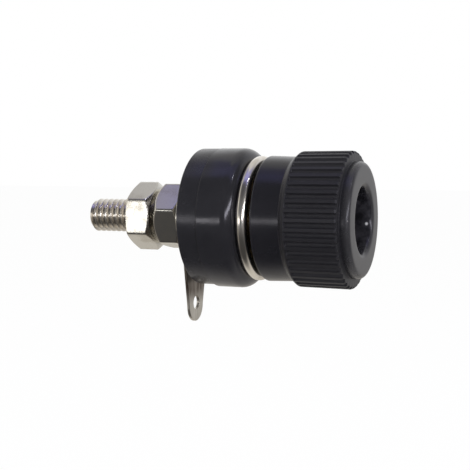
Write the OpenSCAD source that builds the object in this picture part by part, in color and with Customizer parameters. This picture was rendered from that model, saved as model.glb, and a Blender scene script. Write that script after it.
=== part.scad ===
// Insulated panel binding post with a socket for a 4 mm plug.
// X runs along the post towards the plug side and Z is up, with the solder lug hanging down.
// The origin is on the post's axis, in the plane where the front bush meets the panel.

/* [Front bush] */
// Outer diameter of the front bush
bush_d = 16.2; // [15.5:0.1:20]
// Thickness of the front bush in front of the panel
front_bush_h = 4.2; // [3:0.02:8]
// Radius of the front bush's rounded front edge
front_bush_edge_r = 1.4; // [0.3:0.05:1.6]
// Diameter of the spigot that goes through the panel
spigot_d = 7.9; // [7.5:0.1:9]
// Length of the spigot behind the panel's front face
spigot_h = 1.4; // [0.8:0.1:1.6]

/* [Rear bush] */
// How far the rear bush's rim stands inside the front bush's rim
rear_bush_inset = 0.125; // [0:0.005:0.5]
// Thickness of the rear bush
rear_bush_h = 2.4; // [2.25:0.05:5]
// Radius of the rear bush's rounded rear edge
rear_bush_edge_r = 0.15; // [0.05:0.05:0.8]

/* [Post] */
// Diameter of the post's flange
flange_d = 14.4; // [13:0.1:15]
// Thickness of the post's flange
flange_h = 1.28; // [1.24:0.02:2]
// Radius of the flange's rounded rim, on either side
flange_edge_r = 0.6; // [0.1:0.05:0.6]
// Outer diameter of the thread that the cap runs on
boss_d = 6; // [5.6:0.1:6.6]
// Length of the threaded boss in front of the flange
boss_h = 7.4; // [7:0.1:9]
// Diameter of the plug socket
socket_d = 4; // [3.6:0.1:4.2]
// Depth of the plug socket, to the end of its round wall
socket_h = 12.6; // [9:0.1:13]
// Diameter of the cross hole for a bare wire
wire_hole_d = 2; // [1:0.1:2.4]
// Distance from the flange to the middle of the wire hole
wire_hole_h = 1.6; // [1.4:0.1:2.4]
// Diameter of the keyed shank inside the front bush
shank_d = 6; // [5.6:0.1:6.4]
// Distance across the shank's two flats
shank_flats = 5.3; // [4.8:0.1:5.5]
// Outer diameter of the rear stud's thread
stud_d = 4; // [3.5:0.1:4.2]
// Depth from the stud's outer diameter to where its thread and a nut's thread meet
thread_depth = 0.225; // [0.1:0.005:0.3]
// Length of stud that stands free behind the rear nut
stud_free_h = 5.7; // [3:0.1:12]
// Chamfer at the thread's ends
thread_chamfer = 0.3; // [0.1:0.05:0.6]

/* [Cap] */
// Outer diameter over the ribs, at their front end
cap_d = 15.58; // [15:0.02:18]
// How much slimmer the grip is at its rear end, on the radius
grip_taper = 0.06; // [0:0.01:0.2]
// Diameter of the smooth skirt, at its rear edge
skirt_d = 14.46; // [13.5:0.02:14.8]
// How much slimmer the skirt is at its front end, on the radius
skirt_taper = 0.11; // [0:0.01:0.2]
// Overall length of the cap
cap_h = 11.16; // [10.6:0.02:13]
// Length of the smooth skirt
skirt_h = 3.35; // [1.5:0.05:3.6]
// Length of the cone between skirt and ribs
cap_step_h = 0.73; // [0.4:0.01:1.2]
// Gap between the flange and the cap's rear edge, closed by the insert
cap_gap = 0.48; // [0.1:0.02:0.7]
// Diameter of the smooth nose in front of the grip
nose_d = 13.2; // [12:0.1:14]
// Length of the nose
nose_h = 1.13; // [0.7:0.01:2]
// Radius of the nose's rounded front edge
nose_edge_r = 0.6; // [0.1:0.05:0.7]
// Radius of the grip's rounded front edge
grip_edge_r = 0.3; // [0.1:0.05:0.5]
// Radius of the cap's rounded rear edge
cap_rear_r = 0.3; // [0.1:0.05:0.5]
// Diameter of the mouth that the plug goes through
mouth_d = 7.42; // [7:0.02:8.6]
// Chamfer around the mouth
mouth_chamfer = 0.15; // [0.05:0.05:0.4]

/* [Ribbed grip] */
// Number of grooves around the grip
groove_count = 46; // [30:1:54]
// Depth of a groove
groove_depth = 0.36; // [0.15:0.01:0.5]
// Diameter of a groove's round bottom
groove_d = 0.62; // [0.4:0.02:0.7]
// Distance from the cone's end to the start of the grooves
groove_start = 0.08; // [0:0.01:1]
// Turn of the groove pattern about the post
groove_turn = 5.4; // [0:0.1:12]

/* [Cap insert] */
// Outer diameter of the insert
insert_d = 10; // [9:0.1:11]
// Length of the insert
insert_h = 6; // [5:0.1:6.4]
// Width of the groove that holds the insert in the cap
insert_groove_w = 1.6; // [1:0.1:2]
// Depth of the groove that holds the insert in the cap
insert_groove_depth = 0.5; // [0.2:0.05:0.8]

/* [Rear hardware] */
// Outer diameter of the flat washer
flat_washer_d = 9; // [8:0.1:12]
// Thickness of the flat washer
flat_washer_h = 1; // [0.5:0.05:1.5]
// Thickness of the solder lug
lug_h = 0.35; // [0.2:0.05:1]
// Diameter of the lug's eye around the stud
lug_eye_d = 8; // [7:0.1:10]
// Distance from the stud's axis to the lug's tip
lug_reach = 12.4; // [10:0.1:20]
// Width of the lug's tail where it leaves the eye
lug_root_w = 7.6; // [4:0.1:7.8]
// Width of the lug's rounded tip
lug_tip_w = 3.8; // [3:0.1:4.5]
// Diameter of the lug's wire hole
lug_hole_d = 1.6; // [1:0.1:2]
// Distance from the lug's tip to the middle of its wire hole
lug_hole_inset = 2.2; // [1.6:0.1:3]
// Outer diameter of the lock washer
lock_washer_d = 7.6; // [6.6:0.1:9]
// Thickness of the lock washer
lock_washer_h = 0.7; // [0.5:0.05:1.5]
// Width of the lock washer's split
lock_split_w = 0.6; // [0.3:0.05:1]
// Distance across the flats of a nut
nut_flats = 7; // [6.4:0.1:8]
// Height of a nut
nut_h = 3.05; // [2.2:0.05:4]
// Gap between the two nuts
nut_gap = 0.55; // [0.1:0.05:3]
// Turn of the front nut about the post
mounting_nut_turn = 17.5; // [0:0.5:60]

/* [Clearances] */
// Radial play of a nut's thread on the stud and of the shank in its bush
seat_play = 0.03; // [0.01:0.01:0.08]
// Radial play of the insert on the post and of the cap on the insert
run_play = 0.05; // [0.02:0.01:0.1]
// Radial play of washers, lug and rear bush around the stud
hole_play = 0.15; // [0.05:0.05:0.3]
// Play between the spigot and the rear bush's counterbore
spigot_play = 0.1; // [0.05:0.05:0.2]

/* [Hidden] */

$fn = 96;
overcut = 0.5;
drill_tip_angle = 118;
nut_chamfer_angle = 30;
nut_face_ratio = 0.95;
seam_chamfer = 0.08;
lock_split_slant = 20;

// Stations along the post, from the panel plane to the rear
rear_bush_x = -rear_bush_h;
flat_washer_x = rear_bush_x - flat_washer_h;
lug_x = flat_washer_x - lug_h;
lock_washer_x = lug_x - lock_washer_h;
mounting_nut_x = lock_washer_x - nut_h;
terminal_nut_x = mounting_nut_x - nut_gap - nut_h;
stud_end_x = terminal_nut_x - stud_free_h;
// Stations along the post, from the panel plane to the front
flange_x = front_bush_h;
flange_front_x = flange_x + flange_h;
boss_end_x = flange_front_x + boss_h;
insert_end_x = flange_front_x + insert_h;
cap_x = flange_front_x + cap_gap;
// Distance from the cap's rear edge to the start of the grip
grip_h = skirt_h + cap_step_h;

stud_hole_d = stud_d + 2 * hole_play;
stud_seat_d = stud_d - 2 * thread_depth;
nut_bore_d = stud_seat_d + 2 * seat_play;
insert_bore_d = boss_d + 2 * run_play;
nut_corner_r = nut_flats / 2 / cos(30);

black_gloss = "#1c1c20";
black_satin = "#26262a";
nickel = "#c9c4ba";
brass = "#b89a55";

// Lays a shape drawn up +Z along the post, with its foot at station x.
// A shape's +X side then points down.
module along_post(x) {
    translate([x, 0, 0])
        rotate([0, 90, 0])
            children();
}

// What a rounded edge takes off a section's outer upper corner at [r, z]
module edge_round(r, z, edge_r) {
    translate([r - edge_r, z - edge_r])
        difference() {
            square(edge_r + overcut);
            circle(edge_r);
        }
}

// The same for a section's outer lower corner
module edge_round_below(r, z, edge_r) {
    translate([0, z])
        mirror([0, 1])
            edge_round(r, 0, edge_r);
}

// Disc with both rims rounded
module rounded_disc(d, h, edge_r) {
    r = d / 2;
    rotate_extrude()
        difference() {
            square([r, h]);
            edge_round(r, h, edge_r);
            edge_round_below(r, 0, edge_r);
        }
}

// Disc with a chamfer on either rim
module chamfered_disc(d, h, lower, upper) {
    r = d / 2;
    rotate_extrude()
        polygon([[0, 0], [r - lower, 0], [r, lower], [r, h - upper], [r - upper, h], [0, h]]);
}

// Plain washer with its foot at z = 0
module ring(d, hole_d, h) {
    difference() {
        cylinder(d = d, h = h);
        translate([0, 0, -overcut])
            cylinder(d = hole_d, h = h + 2 * overcut);
    }
}

// Round bar with two flats, which face up and down on the finished post
module keyed_bar(d, flats, h) {
    linear_extrude(height = h)
        intersection() {
            circle(d = d);
            square([flats, d], center = true);
        }
}

// Stud at its outer diameter, and at the seat diameter inside the two nuts
module stud() {
    along_post(stud_end_x)
        chamfered_disc(stud_d, stud_free_h, thread_chamfer, 0);
    along_post(terminal_nut_x)
        cylinder(d = stud_seat_d, h = lock_washer_x - terminal_nut_x);
    along_post(terminal_nut_x + nut_h)
        cylinder(d = stud_d, h = nut_gap);
    along_post(lock_washer_x)
        cylinder(d = stud_d, h = -lock_washer_x);
}

module post() {
    color(nickel)
        difference() {
            union() {
                stud();
                along_post(-spigot_h)
                    keyed_bar(shank_d, shank_flats, spigot_h + flange_x);
                along_post(flange_x)
                    rounded_disc(flange_d, flange_h, flange_edge_r);
                along_post(flange_x)
                    chamfered_disc(boss_d, flange_h + boss_h, 0, thread_chamfer);
            }
            along_post(boss_end_x - socket_h)
                rotate_extrude()
                    plug_socket_section();
            translate([flange_front_x + wire_hole_h, 0, 0])
                rotate([90, 0, 0])
                    cylinder(d = wire_hole_d, h = boss_d + 2 * overcut, center = true);
        }
}

// Half section of the drilled socket, from its drill point to past its chamfered mouth
module plug_socket_section() {
    r = socket_d / 2;
    tip_h = r / tan(drill_tip_angle / 2);
    mouth_r = r + thread_chamfer / 2;
    polygon([[0, -tip_h], [r, 0], [r, socket_h - thread_chamfer / 2], [mouth_r, socket_h],
             [mouth_r, socket_h + overcut], [0, socket_h + overcut]]);
}

module front_bush() {
    r = bush_d / 2;
    color(black_gloss)
        difference() {
            union() {
                along_post(-spigot_h)
                    cylinder(d = spigot_d, h = spigot_h + front_bush_h);
                along_post(0)
                    rotate_extrude()
                        difference() {
                            polygon([[0, 0], [r - seam_chamfer, 0], [r, seam_chamfer],
                                     [r, front_bush_h], [0, front_bush_h]]);
                            edge_round(r, front_bush_h, front_bush_edge_r);
                        }
            }
            along_post(-spigot_h - overcut)
                keyed_bar(shank_d + 2 * seat_play, shank_flats + 2 * seat_play,
                          spigot_h + front_bush_h + 2 * overcut);
        }
}

module rear_bush() {
    r = bush_d / 2 - rear_bush_inset;
    color(black_gloss)
        along_post(rear_bush_x)
            difference() {
                rotate_extrude()
                    difference() {
                        polygon([[0, 0], [r, 0], [r, rear_bush_h - seam_chamfer],
                                 [r - seam_chamfer, rear_bush_h], [0, rear_bush_h]]);
                        edge_round_below(r, 0, rear_bush_edge_r);
                    }
                translate([0, 0, -overcut])
                    cylinder(d = stud_hole_d, h = rear_bush_h);
                translate([0, 0, rear_bush_h - spigot_h - spigot_play])
                    cylinder(d = spigot_d + 2 * spigot_play, h = spigot_h + spigot_play + overcut);
            }
}

module flat_washer() {
    color(nickel)
        along_post(flat_washer_x)
            ring(flat_washer_d, stud_hole_d, flat_washer_h);
}

module solder_lug() {
    tip_x = lug_reach - lug_tip_w / 2;
    color(nickel)
        along_post(lug_x)
            linear_extrude(height = lug_h)
                difference() {
                    union() {
                        circle(d = lug_eye_d);
                        polygon([[0, -lug_root_w / 2], [tip_x, -lug_tip_w / 2],
                                 [tip_x, lug_tip_w / 2], [0, lug_root_w / 2]]);
                        translate([tip_x, 0])
                            circle(d = lug_tip_w);
                    }
                    circle(d = stud_hole_d);
                    translate([lug_reach - lug_hole_inset, 0])
                        circle(d = lug_hole_d);
                }
}

module lock_washer() {
    color(nickel)
        along_post(lock_washer_x)
            difference() {
                ring(lock_washer_d, stud_hole_d, lock_washer_h);
                rotate([lock_split_slant, 0, 0])
                    translate([-lock_washer_d, -lock_split_w / 2, -lock_washer_h])
                        cube([lock_washer_d, lock_split_w, 3 * lock_washer_h]);
            }
}

// Hex nut with both faces chamfered and its bore opened at both ends
module nut() {
    face_r = nut_face_ratio * nut_flats / 2;
    chamfer_h = (nut_corner_r - face_r) * tan(nut_chamfer_angle);
    bore_r = nut_bore_d / 2;
    mouth_r = stud_d / 2 + thread_chamfer / 2;
    mouth_h = mouth_r - bore_r;
    difference() {
        intersection() {
            cylinder(r = nut_corner_r, h = nut_h, $fn = 6);
            rotate_extrude()
                polygon([[0, 0], [face_r, 0], [nut_corner_r, chamfer_h],
                         [nut_corner_r, nut_h - chamfer_h], [face_r, nut_h], [0, nut_h]]);
        }
        rotate_extrude()
            polygon([[0, -overcut], [mouth_r, -overcut], [mouth_r, 0], [bore_r, mouth_h],
                     [bore_r, nut_h - mouth_h], [mouth_r, nut_h],
                     [mouth_r, nut_h + overcut], [0, nut_h + overcut]]);
    }
}

module mounting_nut() {
    color(nickel)
        along_post(mounting_nut_x)
            rotate([0, 0, mounting_nut_turn])
                nut();
}

module terminal_nut() {
    color(nickel)
        along_post(terminal_nut_x)
            nut();
}

// Bush outline with a locking groove half-way along; play widens the outline and narrows the groove
module insert_outline(play) {
    r = insert_d / 2 + play;
    groove_r = r - insert_groove_depth;
    groove_low = (insert_h - insert_groove_w) / 2 + play;
    groove_high = insert_h - groove_low;
    rotate_extrude()
        polygon([[0, 0], [r, 0], [r, groove_low], [groove_r, groove_low],
                 [groove_r, groove_high], [r, groove_high], [r, insert_h], [0, insert_h]]);
}

module cap_insert() {
    color(brass)
        along_post(flange_front_x)
            difference() {
                insert_outline(0);
                translate([0, 0, -overcut])
                    cylinder(d = insert_bore_d, h = insert_h + 2 * overcut);
            }
}

// Half section of the cap's outside, before its grooves are cut
module cap_section() {
    r = cap_d / 2;
    skirt_r = skirt_d / 2;
    nose_r = nose_d / 2;
    grip_end_h = cap_h - nose_h;
    difference() {
        polygon([[0, 0], [skirt_r, 0], [skirt_r - skirt_taper, skirt_h], [r - grip_taper, grip_h],
                 [r, grip_end_h], [nose_r, grip_end_h], [nose_r, cap_h], [0, cap_h]]);
        edge_round(r, grip_end_h, grip_edge_r);
        edge_round(nose_r, cap_h, nose_edge_r);
        edge_round_below(skirt_r, 0, cap_rear_r);
    }
}

// Grooves of the grip, which run out at its front end
module grip_grooves() {
    pitch = 360 / groove_count;
    for (i = [0 : groove_count - 1])
        rotate([0, 0, i * pitch - 90 - groove_turn])
            translate([cap_d / 2 - groove_depth + groove_d / 2, 0, grip_h + groove_start])
                cylinder(d = groove_d, h = cap_h);
}

module cap() {
    mouth_r = mouth_d / 2;
    color(black_satin)
        difference() {
            along_post(cap_x)
                difference() {
                    rotate_extrude()
                        cap_section();
                    grip_grooves();
                    translate([0, 0, -overcut])
                        cylinder(r = mouth_r, h = cap_h + 2 * overcut);
                    translate([0, 0, cap_h - mouth_chamfer])
                        cylinder(r1 = mouth_r, r2 = mouth_r + mouth_chamfer + overcut,
                                 h = mouth_chamfer + overcut);
                }
            along_post(flange_front_x)
                insert_outline(run_play);
        }
}

post();
front_bush();
rear_bush();
flat_washer();
solder_lug();
lock_washer();
mounting_nut();
terminal_nut();
cap_insert();
cap();
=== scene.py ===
"""Looks of an insulated panel binding post: a plated post with flange and threaded stud, two black
bushes, washers, a solder lug, two hex nuts, and a ribbed screw cap on its threaded insert.
X runs along the post to the front and Z up. Sections are written in millimetres."""
import math
from typing import NamedTuple

import bpy
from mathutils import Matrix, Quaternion, Vector


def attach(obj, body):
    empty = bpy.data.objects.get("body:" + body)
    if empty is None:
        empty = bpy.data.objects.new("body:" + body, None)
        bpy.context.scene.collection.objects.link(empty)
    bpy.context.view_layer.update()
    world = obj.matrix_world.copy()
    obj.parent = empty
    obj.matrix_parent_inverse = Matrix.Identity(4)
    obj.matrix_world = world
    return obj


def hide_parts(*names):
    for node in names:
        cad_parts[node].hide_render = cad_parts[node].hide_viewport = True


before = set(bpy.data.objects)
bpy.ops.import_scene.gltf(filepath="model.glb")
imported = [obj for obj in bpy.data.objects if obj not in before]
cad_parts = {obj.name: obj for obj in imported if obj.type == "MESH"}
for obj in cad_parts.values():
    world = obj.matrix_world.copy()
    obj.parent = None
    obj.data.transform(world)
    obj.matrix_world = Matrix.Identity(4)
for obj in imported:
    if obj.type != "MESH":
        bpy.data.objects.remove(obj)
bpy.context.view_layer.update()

MM = 0.001
MICRON = 0.000001
FULL_TURN = 2 * math.pi


# Node sheets

class Wire:
    """An output socket. Sums on wires add Math nodes to the sheet they lie on."""

    def __init__(self, sheet, socket):
        self.sheet = sheet
        self.socket = socket

    def math(self, operation, *others):
        return self.sheet.node("ShaderNodeMath", {"operation": operation}, [self, *others])

    def turned(self, operation, other):
        return self.sheet.node("ShaderNodeMath", {"operation": operation}, [other, self])

    def also(self, key):
        """Another output of the node this wire leaves."""
        return Wire(self.sheet, Sheet.pick(self.socket.node.outputs, key))

    def __add__(self, other):
        return self.math("ADD", other)

    def __radd__(self, other):
        return self.turned("ADD", other)

    def __sub__(self, other):
        return self.math("SUBTRACT", other)

    def __rsub__(self, other):
        return self.turned("SUBTRACT", other)

    def __mul__(self, other):
        return self.math("MULTIPLY", other)

    def __rmul__(self, other):
        return self.turned("MULTIPLY", other)

    def __truediv__(self, other):
        return self.math("DIVIDE", other)

    def __rtruediv__(self, other):
        return self.turned("DIVIDE", other)


class Sheet:
    """A node tree with one way to add a node: its type, its settings, then its sockets."""

    def __init__(self, tree):
        self.tree = tree

    @staticmethod
    def pick(sockets, key):
        shown = [s for s in sockets if s.enabled]
        if isinstance(key, int):
            return shown[key]
        return next(s for s in shown if key in (s.identifier, s.name))

    def node(self, kind, settings=None, sockets=(), output=0):
        made = self.tree.nodes.new(kind)
        for key, value in (settings or {}).items():
            setattr(made, key, value)
        pairs = sockets.items() if isinstance(sockets, dict) else enumerate(sockets)
        for key, value in pairs:
            socket = self.pick(made.inputs, key)
            if isinstance(value, Wire):
                self.tree.links.new(value.socket, socket)
            else:
                socket.default_value = value
        if any(s.enabled for s in made.outputs):
            return Wire(self, self.pick(made.outputs, output))
        return made

    def split(self, place):
        """Wires for the three parts of a place or a direction."""
        x = self.node("ShaderNodeSeparateXYZ", {}, [place])
        return x, x.also("Y"), x.also("Z")

    def joined(self, x, y, z):
        return self.node("ShaderNodeCombineXYZ", {}, [x, y, z])

    def ease(self, value, low, high):
        """0 at low and before it, 1 at high and past it, and a smooth run between. The run goes
        downwards where low is the larger."""
        return self.node("ShaderNodeMapRange", {"interpolation_type": "SMOOTHSTEP"},
                         {"Value": value, "From Min": low, "From Max": high,
                          "To Min": 0.0, "To Max": 1.0})

    def blend(self, factor, first, second):
        """A colour between two colours."""
        return self.node("ShaderNodeMix", {"data_type": "RGBA"},
                         {"Factor_Float": factor, "A_Color": colour(first),
                          "B_Color": colour(second)})

    def speckle(self, place, scale, detail=2.0, rough=0.5):
        """Soft noise from 0 to 1 with about scale grains a metre."""
        return self.node("ShaderNodeTexNoise", {"noise_dimensions": "3D"},
                         {"Vector": place, "Scale": scale, "Detail": detail,
                          "Roughness": rough})

    def relief(self, height, depth, strength):
        """A normal for fine relief of this depth, from a height of 0 to about 1."""
        return self.node("ShaderNodeBump", {},
                         {"Strength": strength, "Distance": depth, "Height": height})


def colour(value):
    """A tone as a node wants it. Wires pass through."""
    return (*value, 1.0) if isinstance(value, tuple) else value


def empty_sheet(owner):
    """The cleared node sheet of a material or a world."""
    owner.use_nodes = True
    owner.node_tree.nodes.clear()
    return Sheet(owner.node_tree)


# Finishes

# Both black mouldings mirror a little cooler than white
PLASTIC_TINT = (0.92, 0.91, 1.0, 1.0)
GLOSS_PLASTIC_IOR = 1.47
SATIN_PLASTIC_IOR = 1.43
DUST = (0.30, 0.29, 0.28)


class Metal(NamedTuple):
    """A turned metal: its clean and dulled tones, its roughness and how strong its tool rings are."""
    light: tuple
    dull: tuple
    rough: float
    turning: float


BRIGHT_NICKEL = Metal((0.83, 0.79, 0.73), (0.73, 0.68, 0.61), 0.18, 1.0)
DULLED_NICKEL = Metal((0.72, 0.70, 0.655), (0.61, 0.58, 0.52), 0.19, 0.2)
TURNED_BRASS = Metal((0.70, 0.52, 0.24), (0.50, 0.35, 0.16), 0.24, 1.6)


def new_finish(name):
    """A material, its sheet and a wire for the place on the piece."""
    material = bpy.data.materials.new(name)
    sheet = empty_sheet(material)
    place = sheet.node("ShaderNodeTexCoord", {}, (), "Object")
    return material, sheet, place


def close_finish(sheet, sockets):
    surface = sheet.node("ShaderNodeBsdfPrincipled", {}, sockets)
    sheet.node("ShaderNodeOutputMaterial", {}, {"Surface": surface})


def around_post(sheet, place):
    """Wires for the place along the post and the distance from its axis."""
    x, y, z = sheet.split(place)
    return x, (y * y + z * z).math("SQRT")


def dust(sheet, place, grain, share):
    """Sparse specks, 1 on a speck and 0 off it. A share of the grains is specks."""
    speck_r, speck_core = 0.12, 0.05
    cells = sheet.node("ShaderNodeTexVoronoi", {"feature": "F1"},
                       {"Vector": place, "Scale": grain, "Randomness": 1.0})
    lucky = sheet.node("ShaderNodeSeparateColor", {}, [cells.also("Color")])
    return sheet.ease(cells, speck_r, speck_core) * lucky.math("LESS_THAN", share)


def gloss_black(name, rough):
    """Glossy black moulding: faint flow marks, orange peel, hazed patches and a little dust."""
    deep, pale = (0.0125, 0.0124, 0.0148), (0.0197, 0.0194, 0.0218)
    material, sheet, place = new_finish(name)
    flow = sheet.speckle(place, scale=260.0, detail=3.0, rough=0.55)
    peel = sheet.speckle(place, scale=2600.0)
    smear = sheet.speckle(place, scale=650.0, detail=3.0, rough=0.6)
    haze = sheet.ease(smear, 0.42, 0.66)
    specks = dust(sheet, place, grain=1500.0, share=0.018)
    tone = sheet.blend(flow, deep, pale)
    close_finish(sheet, {
        "Base Color": sheet.blend(specks * 0.5, tone, DUST),
        "Roughness": rough + 0.06 * flow + 0.06 * haze + 0.2 * specks,
        "IOR": GLOSS_PLASTIC_IOR,
        "Specular Tint": PLASTIC_TINT,
        "Normal": sheet.relief(peel + 0.6 * flow, depth=12 * MICRON, strength=0.35),
    })
    return material


def satin_black():
    """Black moulding of the cap: a smooth skirt and mouth, a grained grip whose grooves are lightened
    by painted light, a smoother nose with a scuffed face lightened by painted light, patches of
    painted light inside the mouth, and a painted glint on its wall."""
    deep, pale = (0.0085, 0.0084, 0.0106), (0.0133, 0.0130, 0.0154)
    scuff_and_light_tone, mouth_light_tone = (0.032, 0.0315, 0.0335), (0.040, 0.039, 0.045)
    rib_tone, groove_light_tone = (0.018, 0.0175, 0.0195), (0.036, 0.035, 0.0385)
    glint_tone, glint_place = (0.70, 0.70, 0.72), (16.38 * MM, 3.66 * MM, -0.55 * MM)
    material, sheet, place = new_finish("satin_black_moulding")
    x, radius = around_post(sheet, place)
    flow = sheet.speckle(place, scale=320.0, detail=3.0, rough=0.55)
    grain = sheet.speckle(place, scale=7000.0)
    specks = dust(sheet, place, grain=1300.0, share=0.014)

    # Where each part of the cap lies
    outside = sheet.ease(radius, 3.78 * MM, 3.92 * MM)
    grained = sheet.ease(x, 9.4 * MM, 10.1 * MM) * outside
    grip = grained * sheet.ease(x, 16.20 * MM, 15.95 * MM)
    ribs = sheet.ease(radius, 7.60 * MM, 7.76 * MM) * grip
    grooves = sheet.ease(radius, 7.68 * MM, 7.50 * MM) * grip
    face = sheet.ease(x, 15.9 * MM, 17.0 * MM) * outside
    nose_side = sheet.ease(x, 15.95 * MM, 16.15 * MM) * sheet.ease(radius, 5.95 * MM, 6.55 * MM)
    # Painted highlight: the place of a small glint on the mouth's far wall
    from_glint = sheet.node("ShaderNodeVectorMath", {"operation": "DISTANCE"},
                           [place, glint_place], "Value")
    glint = sheet.ease(from_glint, 0.24 * MM, 0.08 * MM)
    cloud = sheet.speckle(place, scale=900.0, detail=4.0, rough=0.6)
    # Painted light: the inside of the mouth is lightened in patches
    mouth_light = (1.0 - outside) * sheet.ease(cloud, 0.36, 0.70)

    tone = sheet.blend(flow, deep, pale)
    # Partly scuffing and partly painted light: the front face is made lighter where the lamps fall on
    # it
    tone = sheet.blend(face * (0.65 + 0.5 * flow), tone, scuff_and_light_tone)
    # Painted light inside the mouth
    tone = sheet.blend(mouth_light, tone, mouth_light_tone)
    # Painted highlight: a pale glint in the mouth
    tone = sheet.blend(glint, tone, glint_tone)
    tone = sheet.blend(ribs * (0.20 + 0.4 * grain), tone, rib_tone)
    # Painted light: the grooves are lightened in place of the soft light from above that reaches into
    # them
    tone = sheet.blend(grooves * (0.20 + 0.22 * grain), tone, groove_light_tone)
    close_finish(sheet, {
        "Base Color": sheet.blend(specks * 0.45, tone, DUST),
        "Roughness": (0.15 + 0.07 * flow + 0.04 * grain + 0.13 * grained + 0.13 * grip
                      - 0.07 * nose_side),
        "IOR": SATIN_PLASTIC_IOR,
        "Specular Tint": PLASTIC_TINT,
        "Normal": sheet.relief(grain + 0.8 * flow, depth=6 * MICRON, strength=0.4),
    })
    return material


def turned_metal(name, metal):
    """Turned metal, plated or bare: fine rings from the tool, smudges and dulled patches."""
    material, sheet, place = new_finish(name)
    x, radius = around_post(sheet, place)
    rings = sheet.speckle(sheet.joined(x, radius, 0.0), scale=16000.0)
    smudge = sheet.speckle(place, scale=420.0, detail=4.0, rough=0.6)
    pits = sheet.speckle(place, scale=5200.0)
    patch = sheet.ease(smudge, 0.42, 0.68)
    close_finish(sheet, {
        "Base Color": sheet.blend(patch, metal.light, metal.dull),
        "Metallic": 1.0,
        "Roughness": metal.rough + 0.08 * patch + 0.04 * pits,
        "Normal": sheet.relief(rings * metal.turning + 0.25 * pits, depth=3 * MICRON, strength=0.4),
    })
    return material


def tinned_strip():
    """Tinned lug: satin, rolled along its length, with painted shade making it browner towards the
    eye, next to the black body.
    """
    dull, light, eye_shade_tone = (0.50, 0.46, 0.40), (0.84, 0.81, 0.74), (0.12, 0.09, 0.07)
    along = 0.12
    material, sheet, place = new_finish("tinned_strip")
    x, y, z = sheet.split(place)
    rolled = sheet.speckle(sheet.joined(x, y, z * along), scale=2600.0, detail=3.0)
    cloud = sheet.speckle(place, scale=700.0, detail=4.0, rough=0.6)
    streak = sheet.ease(rolled, 0.35, 0.70)
    # Painted shade: the lug darkens to brown towards the eye, where the black body shades it
    eye_shade = sheet.ease(z, -10.6 * MM, -8.4 * MM) * (0.75 + 0.5 * streak)
    tone = sheet.blend(0.5 * cloud + 0.5 * streak, dull, light)
    close_finish(sheet, {
        "Base Color": sheet.blend(eye_shade * 0.9, tone, eye_shade_tone),
        "Metallic": 1.0,
        "Roughness": 0.30 + 0.12 * cloud + 0.06 * rolled,
        "Normal": sheet.relief(rolled + cloud, depth=8 * MICRON, strength=0.5),
    })
    return material


# Shapes

# Roundings of small edges, in millimetres
HAIR, CRISP, FINE, SLIGHT, SOFT, EASED = 0.03, 0.04, 0.05, 0.06, 0.08, 0.1

# Degrees of an arc that one straight step stands for, and the share of a run that an arc may take
ARC_STEP = 11.0
ARC_ROOM = 0.49


class Corner(NamedTuple):
    """A section's corner: its place along the post, its distance from the axis, its rounding, and
    the steps that divide the run after it."""
    x: float
    r: float
    rounding: float = 0.0
    steps: int = 1


def corner_arc(before, here, after, rounding):
    """Points of the arc that rounds a corner."""
    back, ahead = before - here, after - here
    room = ARC_ROOM * min(back.length, ahead.length)
    back.normalize()
    ahead.normalize()
    half = back.angle(ahead) / 2
    cut = min(rounding / math.tan(half), room)
    middle = here + (back + ahead).normalized() * (cut / math.cos(half))
    first = here + back * cut - middle
    last = here + ahead * cut - middle
    turn = math.atan2(first.x * last.y - first.y * last.x, first.dot(last))
    steps = max(2, round(abs(math.degrees(turn)) / ARC_STEP))
    arc = []
    for k in range(steps + 1):
        c, s = math.cos(turn * k / steps), math.sin(turn * k / steps)
        arc.append(middle + Vector((c * first.x - s * first.y, s * first.x + c * first.y)))
    return arc


def rounded_section(corners, ring):
    """Points of a section that closes as a ring, or runs from its first corner to its last."""
    count = len(corners)
    places = [Vector((corner.x, corner.r)) for corner in corners]
    arcs = []
    for i, corner in enumerate(corners):
        if corner.rounding and (ring or 0 < i < count - 1):
            arcs.append(corner_arc(places[i - 1], places[i], places[(i + 1) % count],
                                   corner.rounding))
        else:
            arcs.append([places[i]])
    points = []
    for i, arc in enumerate(arcs):
        points += arc
        steps = corners[i].steps
        if i + 1 < count or ring:
            goal = arcs[(i + 1) % count][0]
            points += [arc[-1].lerp(goal, k / steps) for k in range(1, steps)]
    return points


def new_piece(name, points, faces, finish):
    """A piece from points in millimetres."""
    mesh = bpy.data.meshes.new(name)
    mesh.from_pydata([(x * MM, y * MM, z * MM) for x, y, z in points], [], faces)
    mesh.materials.append(finish)
    piece = bpy.data.objects.new(name, mesh)
    bpy.context.scene.collection.objects.link(piece)
    return piece


def lathe(name, corners, finish, around=128, ring=True):
    """Turns a section about the post's axis. It runs along the outside to the front, and back
    along the bore: as a ring, or from axis to axis."""
    on_axis = 1e-6
    points, rows = [], []
    for x, r in rounded_section(corners, ring):
        if r < on_axis:
            rows.append([len(points)] * around)
            points.append((x, 0.0, 0.0))
            continue
        rows.append(list(range(len(points), len(points) + around)))
        for j in range(around):
            angle = FULL_TURN * j / around
            points.append((x, r * math.cos(angle), r * math.sin(angle)))
    pairs = list(zip(rows, rows[1:]))
    if ring:
        pairs.append((rows[-1], rows[0]))
    faces = []
    for low, high in pairs:
        for j in range(around):
            k = (j + 1) % around
            corner = (low[j], low[k], high[k], high[j])
            faces.append(tuple(dict.fromkeys(corner)))
    return new_piece(name, points, faces, finish)


def settle(piece):
    """Turns what a piece's modifiers make into its plain mesh."""
    graph = bpy.context.evaluated_depsgraph_get()
    made = bpy.data.meshes.new_from_object(piece.evaluated_get(graph))
    piece.modifiers.clear()
    spent, piece.data = piece.data, made
    made.name = piece.name
    bpy.data.meshes.remove(spent)
    return piece


def shade(piece, sharp=40):
    """Smooth faces with crisp edges above an angle in degrees."""
    piece.data.shade_smooth()
    piece.data.set_sharp_from_angle(angle=math.radians(sharp))
    return piece


# Rules that shape a turned blank

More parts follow.
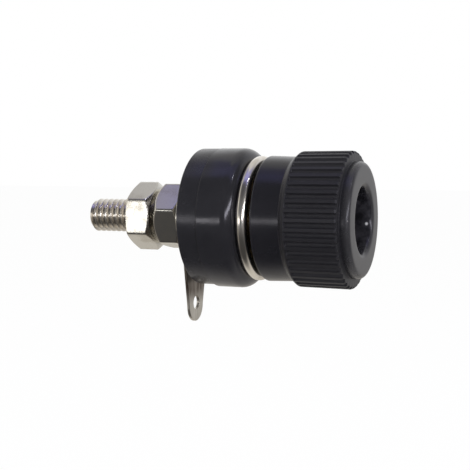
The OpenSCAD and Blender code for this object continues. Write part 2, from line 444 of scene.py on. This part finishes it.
class Rule:
    """A geometry tree that moves a turned blank's points towards or from the post's axis."""

    def __init__(self, name, sizes):
        self.tree = bpy.data.node_groups.new(name, "GeometryNodeTree")
        face = self.tree.interface
        face.new_socket("Blank", in_out="INPUT", socket_type="NodeSocketGeometry")
        for size in sizes:
            face.new_socket(size, in_out="INPUT", socket_type="NodeSocketFloat")
        face.new_socket("Finish", in_out="INPUT", socket_type="NodeSocketMaterial")
        face.new_socket("Shape", in_out="OUTPUT", socket_type="NodeSocketGeometry")
        self.sheet = Sheet(self.tree)
        self.given = self.sheet.node("NodeGroupInput")
        self.x, self.y, self.z = self.sheet.split(self.sheet.node("GeometryNodeInputPosition"))
        self.radius = (self.y * self.y + self.z * self.z).math("SQRT")
        self.angle = self.z.math("ARCTAN2", self.y)

    def size(self, name):
        return self.given.also(name)

    def off_middle(self, share):
        """The angle from the middle of the nearest of the equal shares of a turn."""
        step = ((self.angle - self.size("Turn")) / share + 0.5).math("FRACT") - 0.5
        return step * share

    def close(self, radius):
        """Ends the tree with each point at this distance from the axis."""
        smallest = 1e-7
        share = radius / self.radius.math("MAXIMUM", smallest)
        place = self.sheet.joined(self.x, self.y * share, self.z * share)
        moved = self.sheet.node("GeometryNodeSetPosition", {},
                                {"Geometry": self.given, "Position": place})
        whole = self.sheet.node("GeometryNodeRealizeInstances", {}, {"Geometry": moved})
        dressed = self.sheet.node("GeometryNodeSetMaterial", {},
                                  {"Geometry": whole, "Material": self.size("Finish")})
        self.sheet.node("NodeGroupOutput", {}, {"Shape": dressed})
        return self

    def shape(self, piece, finish, **sizes):
        modifier = piece.modifiers.new(self.tree.name, "NODES")
        modifier.node_group = self.tree
        wanted = {key.replace("_", " ").capitalize(): value for key, value in sizes.items()}
        wanted["Finish"] = finish
        for item in self.tree.interface.items_tree:
            if item.in_out == "INPUT" and item.name in wanted:
                modifier[item.identifier] = wanted[item.name]
        return settle(piece)


def grip_groove_rule():
    """Round-bottomed grooves along the grip, which fade in over a short run."""
    rule = Rule("grip_grooves", ["Count", "Groove radius", "Centre radius", "Turn", "Start",
                                 "Run in", "Softness"])
    off = rule.off_middle(FULL_TURN / rule.size("Count"))
    across = rule.size("Centre radius") * off.math("SINE")
    under_root = rule.size("Groove radius") * rule.size("Groove radius") - across * across
    # Between the grooves the floor lies far out, so the blank's own surface stays
    beyond = under_root.math("LESS_THAN", 0.0)
    floor = (rule.size("Centre radius") * off.math("COSINE")
             - under_root.math("MAXIMUM", 0.0).math("SQRT") + beyond)
    cut = rule.radius.math("SMOOTH_MIN", floor, rule.size("Softness"))
    start = rule.size("Start")
    depth = rule.sheet.ease(rule.x, start, start + rule.size("Run in"))
    return rule.close(rule.radius + (cut - rule.radius) * depth)


def screw_thread_rule():
    """A right-hand thread between two places on the post, outside an inner limit."""
    root_flat, crest_flat = 0.16, 0.92
    rule = Rule("screw_thread", ["Pitch", "Crest", "Root", "Lead in", "Start", "End",
                                 "Inner limit"])
    lead = (rule.x - rule.size("Lead in")) / rule.size("Pitch") - rule.angle / FULL_TURN
    ramp = (2.0 * lead.math("FRACT") - 1.0).math("ABSOLUTE")
    height = rule.sheet.ease(ramp, root_flat, crest_flat)
    wall = rule.size("Root") + (rule.size("Crest") - rule.size("Root")) * height
    inside = (rule.x.math("GREATER_THAN", rule.size("Start"))
              * rule.x.math("LESS_THAN", rule.size("End"))
              * rule.radius.math("GREATER_THAN", rule.size("Inner limit")))
    cut = rule.radius.math("MINIMUM", wall)
    return rule.close(rule.radius + (cut - rule.radius) * inside)


def hex_flat_rule():
    """Six flats on a chamfered blank, with their edges rubbed round."""
    rule = Rule("hex_flats", ["Apothem", "Turn", "Softness"])
    off = rule.off_middle(FULL_TURN / 6)
    flat = rule.size("Apothem") / off.math("COSINE")
    return rule.close(rule.radius.math("SMOOTH_MIN", flat, rule.size("Softness")))


# Pieces of the post

STUD_R = 2.0
STUD_HOLE_R = 2.15
BODY_FRONT = 4.2
SPIGOT_END = -1.4


def turned_post(finish, thread):
    """Stud, shank, flange and boss with the plug socket and the cross hole for a wire."""
    stud_end, shank_r, boss_r, thread_chamfer = -16.80, 3.0, 3.0, 0.30
    flange_front, flange_r, flange_rim = 5.48, 7.2, 0.6
    boss_thread, boss_end = 5.81, 12.88
    socket_r, socket_lead, socket_floor, drill_tip = 2.0, 0.15, 0.28, -0.92
    post = lathe("turned_post", [
        Corner(stud_end, 0.0),
        Corner(stud_end, STUD_R - thread_chamfer, SOFT),
        Corner(stud_end + thread_chamfer, STUD_R, SOFT, steps=255),
        Corner(SPIGOT_END, STUD_R, HAIR),
        Corner(SPIGOT_END, shank_r, EASED),
        Corner(BODY_FRONT, shank_r, HAIR),
        Corner(BODY_FRONT, flange_r, flange_rim, steps=2),
        Corner(flange_front, flange_r, flange_rim),
        Corner(flange_front, boss_r, SOFT, steps=8),
        Corner(boss_thread, boss_r, steps=80),
        Corner(boss_end - thread_chamfer, boss_r, HAIR),
        Corner(boss_end, boss_r - thread_chamfer, FINE),
        Corner(boss_end, socket_r + socket_lead, CRISP),
        Corner(boss_end - socket_lead, socket_r, FINE),
        Corner(socket_floor, socket_r, FINE),
        Corner(drill_tip, 0.0),
    ], finish, around=96, ring=False)
    thread.shape(post, finish, pitch=0.7 * MM, crest=1.985 * MM, root=1.53 * MM,
                 lead_in=-0.23 * MM, start=-16.9 * MM, end=-2.0 * MM, inner_limit=1.0 * MM)
    thread.shape(post, finish, pitch=1.0 * MM, crest=2.99 * MM, root=2.45 * MM,
                 lead_in=0.0, start=5.86 * MM, end=12.76 * MM, inner_limit=2.3 * MM)
    drill = wire_drill(finish)
    cut = post.modifiers.new("wire_hole", "BOOLEAN")
    cut.operation = "DIFFERENCE"
    cut.solver = "EXACT"
    cut.object = drill
    settle(post)
    bpy.data.objects.remove(drill)
    return shade(post, sharp=50)


def wire_drill(finish):
    """The cutter for the cross hole, along Y close in front of the flange."""
    hole_x, hole_r, reach, around = 7.08, 1.0, 4.0, 48
    points = []
    for y in (-reach, reach):
        for j in range(around):
            angle = FULL_TURN * j / around
            points.append((hole_x + hole_r * math.cos(angle), y, hole_r * math.sin(angle)))
    faces = [tuple(range(around)), tuple(range(2 * around - 1, around - 1, -1))]
    for j in range(around):
        k = (j + 1) % around
        faces.append((k, j, j + around, k + around))
    return new_piece("wire_drill", points, faces, finish)


def front_bush(finish):
    """Thick bush with a full front edge and the spigot that goes through the panel."""
    seat, outer_r, front_edge, bore_r = 0.0, 8.1, 1.4, 3.06
    spigot_r, spigot_edge = 3.95, 0.2
    return shade(lathe("front_bush_moulding", [
        Corner(seat, outer_r, SOFT),
        Corner(BODY_FRONT, outer_r, front_edge),
        Corner(BODY_FRONT, bore_r, EASED),
        Corner(SPIGOT_END, bore_r, FINE),
        Corner(SPIGOT_END, spigot_r, spigot_edge),
        Corner(seat, spigot_r, EASED),
    ], finish, around=192))


def rear_bush(finish):
    """Thin bush that clamps the panel from behind, with a recess for the spigot. It sits a
    little high, in its play on the spigot."""
    rear, seat, outer_r, rear_edge = -2.4, 0.0, 7.975, 0.16
    recess_floor, recess_r, lift = -1.5, 4.05, 0.09
    bush = lathe("rear_bush_moulding", [
        Corner(rear, outer_r, rear_edge),
        Corner(seat, outer_r, SOFT),
        Corner(seat, recess_r, EASED),
        Corner(recess_floor, recess_r, FINE),
        Corner(recess_floor, STUD_HOLE_R, FINE),
        Corner(rear, STUD_HOLE_R, SOFT),
    ], finish, around=192)
    for v in bush.data.vertices:
        v.co.z += lift * MM
    return shade(bush)


def flat_washer(finish):
    """Plain washer, with the rounder edges of its stamping at the rear."""
    rear, front, outer_r, stamped_edge = -3.4, -2.4, 4.5, 0.12
    return shade(lathe("flat_washer_plate", [
        Corner(rear, outer_r, stamped_edge),
        Corner(front, outer_r, SLIGHT),
        Corner(front, STUD_HOLE_R, SLIGHT),
        Corner(rear, STUD_HOLE_R, EASED),
    ], finish))


def lock_washer(finish):
    """Spring washer: a square bar bent round, with its cut ends a little slanted."""
    rear, front, outer_r, edge = -4.45, -3.75, 3.8, 0.09
    around, gap, slant = 120, math.radians(10.0), math.radians(6.0)
    bar = rounded_section([
        Corner(rear, outer_r, edge),
        Corner(front, outer_r, edge),
        Corner(front, STUD_HOLE_R, edge),
        Corner(rear, STUD_HOLE_R, edge),
    ], ring=True)
    points, count = [], len(bar)
    for j in range(around + 1):
        share = 2 * j / around - 1
        for x, r in bar:
            lean = slant * (x - (rear + front) / 2) / (front - rear)
            angle = math.pi / 2 + share * (math.pi - gap / 2) + lean
            points.append((x, r * math.cos(angle), r * math.sin(angle)))
    last = around * count
    faces = [tuple(range(count)), tuple(range(last + count - 1, last - 1, -1))]
    for j in range(around):
        a, b = j * count, (j + 1) * count
        for i in range(count):
            k = (i + 1) % count
            faces.append((a + k, a + i, b + i, b + k))
    return shade(new_piece("spring_lock_washer", points, faces, finish))


def arc_points(centre_z, r, start, end, steps):
    """Points (y, z) of an arc about a place below or on the axis, its angles in degrees."""
    angles = [math.radians(start + (end - start) * k / steps) for k in range(steps + 1)]
    return [(r * math.cos(angle), centre_z + r * math.sin(angle)) for angle in angles]


def solder_lug(finish):
    """Stamped tag: an eye on the stud, a tail that narrows downwards, and a wire hole."""
    eye_r, tip_r, tip_z, root_half = 4.0, 1.9, -10.5, 3.8
    hole_r, hole_z = 0.8, -10.2
    middle, thick, edge = -3.575, 0.35, 0.05
    # The tail's straight sides meet the eye's circle at the angle root below its middle
    lean = (root_half - tip_r) / tip_z
    spread = 1 + lean * lean
    drop = (-lean * root_half - math.sqrt(spread * eye_r ** 2 - root_half ** 2)) / spread
    root = math.degrees(math.asin(-drop / eye_r))
    outline = arc_points(0, eye_r - edge, -root, 180 + root, steps=72)
    outline += arc_points(tip_z, tip_r - edge, 180, 360, steps=32)
    loops = [outline, arc_points(0, STUD_HOLE_R + edge, 0, 360, steps=64)[:-1],
             arc_points(hole_z, hole_r + edge, 0, 360, steps=40)[:-1]]
    flat = bpy.data.curves.new("solder_lug_outline", "CURVE")
    flat.dimensions = "2D"
    flat.fill_mode = "BOTH"
    flat.extrude = (thick / 2 - edge) * MM
    flat.bevel_depth = edge * MM
    flat.bevel_resolution = 2
    for loop in loops:
        line = flat.splines.new("POLY")
        line.points.add(len(loop) - 1)
        for point, (y, z) in zip(line.points, loop):
            point.co = (y * MM, z * MM, 0.0, 1.0)
        line.use_cyclic_u = True
    pattern = bpy.data.objects.new("solder_lug_pattern", flat)
    bpy.context.scene.collection.objects.link(pattern)
    graph = bpy.context.evaluated_depsgraph_get()
    mesh = bpy.data.meshes.new_from_object(pattern.evaluated_get(graph))
    for v in mesh.vertices:
        v.co = (v.co.z + middle * MM, v.co.x, v.co.y)
    mesh.materials.clear()
    mesh.materials.append(finish)
    mesh.name = "solder_lug_tag"
    bpy.data.objects.remove(pattern)
    piece = bpy.data.objects.new("solder_lug_tag", mesh)
    bpy.context.scene.collection.objects.link(piece)
    return shade(piece, sharp=35)


def hex_nut(name, finish, flats, rear, turn, rear_chamfer, front_chamfer):
    """A hex nut whose rear face lies at rear, with a chamfer of its own height on each face."""
    thick, corner_r, face_r, bore_r, lead = 3.05, 4.12, 3.44, 2.01, 0.15
    apothem, rubbed = 3.55, 0.20
    front = rear + thick
    blank = lathe(name, [
        Corner(rear, face_r, steps=16),
        Corner(rear + rear_chamfer, corner_r, steps=10),
        Corner(front - front_chamfer, corner_r, steps=16),
        Corner(front, face_r, steps=3),
        Corner(front, STUD_HOLE_R, HAIR),
        Corner(front - lead, bore_r, HAIR),
        Corner(rear + lead, bore_r, HAIR),
        Corner(rear, STUD_HOLE_R, HAIR, steps=3),
    ], finish, around=192)
    flats.shape(blank, finish, apothem=apothem * MM, turn=math.radians(turn), softness=rubbed * MM)
    return shade(blank, sharp=55)


# Pieces of the cap

def cap_insert(finish):
    """Threaded bush held in the cap by a groove round its middle."""
    rear, front, outer_r, rear_edge = 5.48, 11.48, 5.0, 0.15
    groove_rear, groove_front, groove_r = 7.68, 9.28, 4.5
    bore_r, lead = 3.05, 0.30
    return shade(lathe("threaded_cap_insert", [
        Corner(rear, outer_r, rear_edge),
        Corner(groove_rear, outer_r, FINE),
        Corner(groove_rear, groove_r, FINE),
        Corner(groove_front, groove_r, FINE),
        Corner(groove_front, outer_r, FINE),
        Corner(front, outer_r, EASED),
        Corner(front, bore_r + lead, HAIR),
        Corner(front - lead, bore_r, FINE),
        Corner(rear + lead, bore_r, FINE),
        Corner(rear, bore_r + lead, HAIR),
    ], finish))


def ribbed_cap(finish, grooves):
    """Screw cap: smooth skirt, step, ribbed grip, plain nose and the mouth for a plug."""
    rear, skirt_r, skirt_edge = 5.96, 7.23, 0.3
    step_x, step_r, step_edge = 9.31, 7.12, 0.12
    grip_x, grip_r, grip_end, grip_end_r, grip_edge = 10.04, 7.73, 15.99, 7.79, 0.3
    groove_x, groove_start_r, groove_full_x, groove_full_r = 10.10, 7.7306, 10.34, 7.733
    nose_r, front, nose_edge, mouth_r, mouth_edge = 6.6, 17.12, 0.8, 3.71, 0.6
    pocket_end, pocket_r = 11.48, 5.05
    ridge_front, ridge_rear, ridge_r = 9.23, 7.73, 4.55
    rib_count, points_per_rib = 46, 14
    blank = lathe("ribbed_cap_moulding", [
        Corner(rear, skirt_r, skirt_edge, steps=3),
        Corner(step_x, step_r, step_edge),
        Corner(grip_x, grip_r, SOFT, steps=2),
        Corner(groove_x, groove_start_r, steps=6),
        Corner(groove_full_x, groove_full_r, steps=6),
        Corner(grip_end, grip_end_r, grip_edge),
        Corner(grip_end, nose_r, SLIGHT, steps=2),
        Corner(front, nose_r, nose_edge, steps=4),
        Corner(front, mouth_r, mouth_edge, steps=6),
        Corner(pocket_end, mouth_r, FINE),
        Corner(pocket_end, pocket_r, FINE),
        Corner(ridge_front, pocket_r, CRISP),
        Corner(ridge_front, ridge_r, CRISP),
        Corner(ridge_rear, ridge_r, CRISP),
        Corner(ridge_rear, pocket_r, CRISP),
        Corner(rear, pocket_r, EASED, steps=3),
    ], finish, around=rib_count * points_per_rib)
    grooves.shape(blank, finish, count=float(rib_count), groove_radius=0.31 * MM,
                  centre_radius=7.74 * MM, turn=math.radians(-5.4), start=groove_x * MM,
                  run_in=0.16 * MM, softness=0.07 * MM)
    return shade(blank, sharp=45)


# Stage

WHITE = (1.0, 1.0, 1.0)


def aim(thing, place, target, roll):
    """Points a lamp or the camera, turned about its own line of sight by roll degrees."""
    thing.location = place
    thing.rotation_mode = "QUATERNION"
    level = (Vector(target) - Vector(place)).to_track_quat("-Z", "Y")
    thing.rotation_quaternion = level @ Quaternion((0.0, 0.0, 1.0), math.radians(roll))


def set_camera():
    """The photograph's viewing angle. Its numbers are for a square frame, 470 by 470."""
    frame_px, focal_px, target_px = 470.0, 1016.0, (268.7, 217.8)
    azimuth, elevation, distance = math.radians(19.98), math.radians(2.5), 0.1175
    sensor, roll = 36.0, 0.35
    target = Vector((0.00575, 0.0, 0.0))
    back = Vector((math.sin(azimuth) * math.cos(elevation),
                   -math.cos(azimuth) * math.cos(elevation), math.sin(elevation)))
    lens = bpy.data.cameras.new("photo_view")
    lens.sensor_width = sensor
    lens.lens = sensor * focal_px / frame_px
    centre = (frame_px - 1) / 2
    lens.shift_x = (centre - target_px[0]) / frame_px
    lens.shift_y = (target_px[1] - centre) / frame_px
    lens.clip_start = 0.002
    camera = bpy.data.objects.new("photo_view", lens)
    bpy.context.scene.collection.objects.link(camera)
    aim(camera, target + back * distance, target, roll)
    bpy.context.scene.camera = camera


def add_lamp(name, place, target, width, height, power, tint, roll=0.0):
    light = bpy.data.lights.new(name, "AREA")
    light.shape = "RECTANGLE"
    light.size = width
    light.size_y = height
    light.energy = power
    light.color = tint
    lamp = bpy.data.objects.new(name, light)
    bpy.context.scene.collection.objects.link(lamp)
    aim(lamp, place, target, roll)
    return lamp


def set_lamps():
    """Two strips and a spot for the highlights, and a soft light from above."""
    add_lamp("left_strip", place=(-0.171, -0.384, -0.022), target=(-0.004, 0.0, 0.0),
             width=0.22, height=0.045, power=0.12, tint=(1.0, 0.985, 0.955))
    add_lamp("right_strip", place=(0.311, -0.177, 0.066), target=(0.004, 0.0, 0.0),
             width=0.40, height=0.050, power=0.52, tint=(0.95, 0.95, 1.0), roll=12.6)
    add_lamp("small_spot", place=(0.266, -0.026, 0.315), target=(0.003, -0.004, 0.003),
             width=0.018, height=0.018, power=0.05, tint=(0.97, 0.97, 1.0))
    ceiling = add_lamp("ceiling_softbox", place=(-0.04, -0.17, 0.42), target=(0.0, 0.0, 0.0),
                       width=0.45, height=0.45, power=1.12, tint=(0.96, 0.96, 1.0))
    ceiling.visible_glossy = False


def mirrored_tone(sheet):
    """What the finishes mirror: the white backdrop behind, a cooler ceiling, the dim room in front
    and the table below."""
    dim, table = (0.055, 0.053, 0.052), (0.63, 0.60, 0.55)
    backdrop_top, backdrop_shade = (0.68, 0.67, 0.64), (0.22, 0.22, 0.23)
    room_low, room_high = (0.15, 0.15, 0.155), (0.07, 0.07, 0.075)
    near_plain, near_cool = (0.36, 0.35, 0.36), (0.37, 0.36, 0.76)
    far_plain, far_cool = (0.30, 0.29, 0.31), (0.30, 0.29, 0.50)
    left_low, left_high = (0.36, 0.33, 0.29), (1.0, 0.96, 0.90)
    right_glow = (0.46, 0.43, 0.43)
    ease, blend = sheet.ease, sheet.blend
    across, deep, high = sheet.split(sheet.node("ShaderNodeTexCoord", {}, (), "Generated"))
    level = (across * across + deep * deep).math("SQRT").math("MAXIMUM", 0.001)
    tilt = deep / high.math("MAXIMUM", 0.3)

    # Behind: table, white backdrop, a duller top, and shade towards the right
    backdrop = blend(ease(high, -0.28, 0.12), table, WHITE)
    backdrop = blend(ease(high, 0.52, 0.80), backdrop, backdrop_top)
    backdrop = blend(ease(across, -0.05, 0.55) * 0.45, backdrop, backdrop_shade)

    # Overhead: two bands, which are cool except towards the far left
    cool = ease(across, -0.435, -0.40)
    near_band = blend(cool, near_plain, near_cool)
    far_band = blend(cool, far_plain, far_cool)
    ceiling = blend(ease(tilt, -0.42, -0.22), room_high, near_band)
    ceiling = blend(ease(tilt, -0.10, 0.10), ceiling, far_band)

    # In front: dim, with a pale wall at the left and a glow at the right
    room = blend(ease(high, -0.62, -0.10), dim, room_low)
    room = blend(ease(high, 0.45, 0.70), room, room_high)
    room = blend(ease(high, 0.70, 0.80), room, ceiling)
    left = blend(ease(high, -0.18, 0.02), left_low, left_high)
    room = blend(ease(across, -0.48, -0.80) * 0.9, room, left)
    glow = (ease(across, 0.45, 0.72) * ease(deep, 0.12, -0.10)
            * ease(high, -0.12, 0.02) * ease(high, 0.38, 0.22))
    room = blend(glow, room, right_glow)

    around = blend(ease(deep / level, 0.42, 0.82), room, backdrop)
    under = blend(ease(deep, -0.25, 0.45), dim, table)
    return blend(ease(high, -0.50, -0.78), around, under)


def set_world():
    """White for the camera, painted surroundings for reflections, and an even soft light."""
    soft_light = (0.62, 0.62, 0.64)
    world = bpy.data.worlds.new("white_studio")
    bpy.context.scene.world = world
    sheet = empty_sheet(world)
    camera_ray = sheet.node("ShaderNodeLightPath", {}, (), "Is Camera Ray")
    mirror_ray = camera_ray.also("Is Glossy Ray").math("MAXIMUM",
                                                       camera_ray.also("Is Transmission Ray"))
    shown = sheet.blend(mirror_ray, soft_light, mirrored_tone(sheet))
    shown = sheet.blend(camera_ray, shown, WHITE)
    sky = sheet.node("ShaderNodeBackground", {}, {"Color": shown, "Strength": 1.0})
    sheet.node("ShaderNodeOutputWorld", {}, {"Surface": sky})


def pale_floor():
    """A white floor well below the part. Most of what the camera sees of it is plain white, and
    the rest is lit and keeps the soft shadow."""
    half, level, plain_share = 3000.0, -42.0, 0.96
    material = bpy.data.materials.new("white_floor")
    sheet = empty_sheet(material)
    paper = sheet.node("ShaderNodeBsdfDiffuse", {}, {"Color": colour((0.9, 0.9, 0.9))})
    plain = sheet.node("ShaderNodeEmission", {}, {"Color": colour(WHITE), "Strength": 1.0})
    camera_ray = sheet.node("ShaderNodeLightPath", {}, (), "Is Camera Ray")
    mixed = sheet.node("ShaderNodeMixShader", {}, [camera_ray * plain_share, paper, plain])
    sheet.node("ShaderNodeOutputMaterial", {}, {"Surface": mixed})
    corners = [(-half, -half, level), (half, -half, level), (half, half, level), (-half, half, level)]
    floor = new_piece("white_floor", corners, [(0, 1, 2, 3)], material)
    floor.visible_glossy = False


def set_stage():
    bpy.context.scene.view_settings.view_transform = "Standard"
    set_camera()
    set_world()
    pale_floor()
    set_lamps()


# The whole part

def dress(piece, body, node):
    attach(piece, body)
    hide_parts(node)


def build():
    gloss = gloss_black("gloss_bush_black", rough=0.10)
    rubbed = gloss_black("rubbed_bush_black", rough=0.19)
    satin = satin_black()
    bright = turned_metal("bright_nickel", BRIGHT_NICKEL)
    nickel = turned_metal("dulled_nickel", DULLED_NICKEL)
    tin = tinned_strip()
    brass = turned_metal("turned_brass", TURNED_BRASS)
    thread, flats, grooves = screw_thread_rule(), hex_flat_rule(), grip_groove_rule()
    dress(turned_post(bright, thread), "base", "post")
    dress(front_bush(gloss), "base", "front_bush")
    dress(rear_bush(rubbed), "base", "rear_bush")
    dress(flat_washer(nickel), "base", "flat_washer")
    dress(solder_lug(tin), "base", "solder_lug")
    dress(lock_washer(nickel), "base", "lock_washer")
    dress(hex_nut("mounting_hex_nut", nickel, flats, rear=-7.5, turn=17.5, rear_chamfer=0.60,
                  front_chamfer=0.28), "base", "mounting_nut")
    dress(hex_nut("terminal_hex_nut", nickel, flats, rear=-11.1, turn=0.0, rear_chamfer=0.28,
                  front_chamfer=0.42), "base", "terminal_nut")
    dress(cap_insert(brass), "insert", "cap_insert")
    dress(ribbed_cap(satin, grooves), "cap", "cap")


build()
set_stage()
